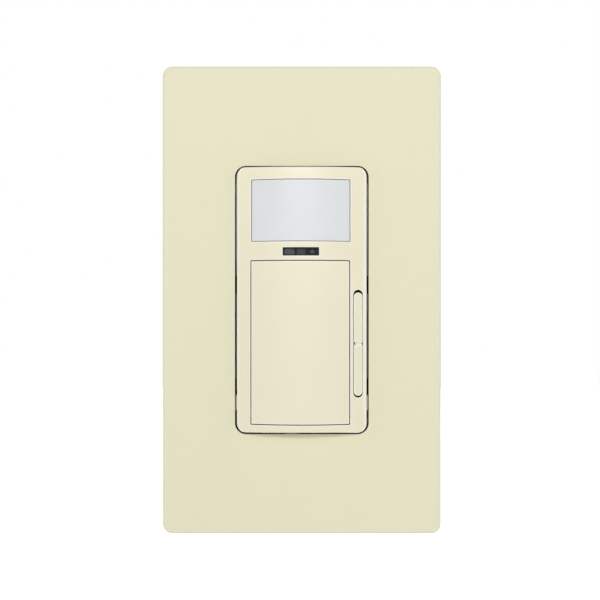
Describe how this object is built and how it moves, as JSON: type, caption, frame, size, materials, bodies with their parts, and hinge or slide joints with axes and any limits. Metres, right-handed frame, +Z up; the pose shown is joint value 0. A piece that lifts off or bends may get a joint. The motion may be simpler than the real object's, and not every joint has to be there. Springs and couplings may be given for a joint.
{
  "type": "motion-sensing wall dimmer",
  "caption": "Ivory wall-box dimmer with a convex face, a push paddle, a raise/lower rocker bar, a motion sensor lens, a smoked window and a screwless wall plate.",
  "frame": {"origin": "on the wall's surface, midway between the two device screws", "axes": "+X to the right seen from the front, +Y into the wall, +Z up"},
  "size_m": [0.0698, 0.0414, 0.1174],
  "materials": {
    "plate_ivory": "smooth moulded, low sheen",
    "face_ivory": "smooth moulded, soft satin",
    "lens_white": "translucent polyethylene",
    "smoke": "smoked transparent",
    "black_plastic": "moulded",
    "housing_plastic": "fine spark-eroded texture",
    "tray_plastic": "moulded",
    "circuit_board": "solder mask on glass laminate",
    "chip": "moulded epoxy",
    "chip_parts": "fired ceramic",
    "led": "clear resin over a white cup",
    "photocell": "dark resin",
    "zinc_steel": "zinc plated",
    "tin_plate": "tin plated",
    "aluminium": "rolled, brushed",
    "painted_screw": "painted to match the plate",
    "ground_green": "green dyed plating",
    "brass": "rolled",
    "ceramic_core": "epoxy coated powder core",
    "copper_wire": "enamelled copper",
    "film_box": "moulded box",
    "sleeve_blue": "shrink sleeve",
    "varistor_blue": "dipped epoxy",
    "white_ceramic": "glazed",
    "pad_grey": "silicone sheet"
  },
  "bodies": {
    "root": {"plate_cover": "plate_ivory", "plate_subframe": "plate_ivory", "plate_screws": "painted_screw", "face_frame": "face_ivory", "sensor_lens": "lens_white", "status_window": "smoke", "bar_pin": "zinc_steel", "indicator_holder": "black_plastic", "status_leds": "led", "photocell": "photocell", "control_board": "circuit_board", "control_chip": "chip", "board_parts": "chip_parts", "switch_bodies": "black_plastic", "switch_covers": "tin_plate", "carrier_tray": "tray_plastic", "header_block": "black_plastic", "header_pins": "tin_plate", "sensor_shroud": "black_plastic", "sensor_board": "circuit_board", "motion_sensor": "tin_plate", "sensor_filter": "smoke", "sensor_pins": "tin_plate", "mounting_strap": "aluminium", "device_screws": "zinc_steel", "ground_screw": "ground_green", "housing_screws": "zinc_steel", "service_contacts": "brass", "power_board": "circuit_board", "transistor_pads": "pad_grey", "transistor_tabs": "tin_plate", "transistor_bodies": "chip", "transistor_rivets": "zinc_steel", "choke_core": "ceramic_core", "choke_winding": "copper_wire", "film_capacitor": "film_box", "storage_capacitors": "sleeve_blue", "varistor": "varistor_blue", "fuse_tube": "white_ceramic", "fuse_caps": "tin_plate", "rear_housing": "housing_plastic", "terminal_plates": "brass", "terminal_clamps": "brass", "terminal_screws": "brass"},
    "paddle": {"paddle": "face_ivory"},
    "dimmer_bar": {"dimmer_bar": "face_ivory"},
    "paddle_plunger": {"paddle_plunger": "black_plastic"},
    "raise_plunger": {"raise_plunger": "tray_plastic"},
    "lower_plunger": {"lower_plunger": "tray_plastic"},
    "service_tab": {"service_tab": "face_ivory", "service_bridge": "brass"}
  },
  "joints": [
    {"name": "paddle_press", "type": "hinge", "parent": "root", "child": "paddle", "pos_m": [-0.00038, -0.006, 0.0082], "axis": [1, 0, 0], "range_deg": [0, 1.2], "stiffness_Nm_per_rad": 1.5},
    {"name": "dimmer_rock", "type": "hinge", "parent": "root", "child": "dimmer_bar", "pos_m": [0.014, -0.0052, -0.0109], "axis": [1, 0, 0], "range_deg": [-2.2, 2.2], "stiffness_Nm_per_rad": 0.25},
    {"name": "paddle_switch_press", "type": "slide", "parent": "root", "child": "paddle_plunger", "axis": [0, 1, 0], "range_m": [0, 0.00036]},
    {"name": "raise_switch_press", "type": "slide", "parent": "root", "child": "raise_plunger", "axis": [0, 1, 0], "range_m": [-0.00028, 0.00028]},
    {"name": "lower_switch_press", "type": "slide", "parent": "root", "child": "lower_plunger", "axis": [0, 1, 0], "range_m": [-0.00028, 0.00028]},
    {"name": "service_slide", "type": "slide", "parent": "root", "child": "service_tab", "axis": [1, 0, 0], "range_m": [0, 0.003]}
  ],
  "couplings": [
    {"joint": "paddle_switch_press", "follows": "paddle_press", "m_per_rad": 0.0166},
    {"joint": "raise_switch_press", "follows": "dimmer_rock", "m_per_rad": -0.007},
    {"joint": "lower_switch_press", "follows": "dimmer_rock", "m_per_rad": 0.007}
  ]
}
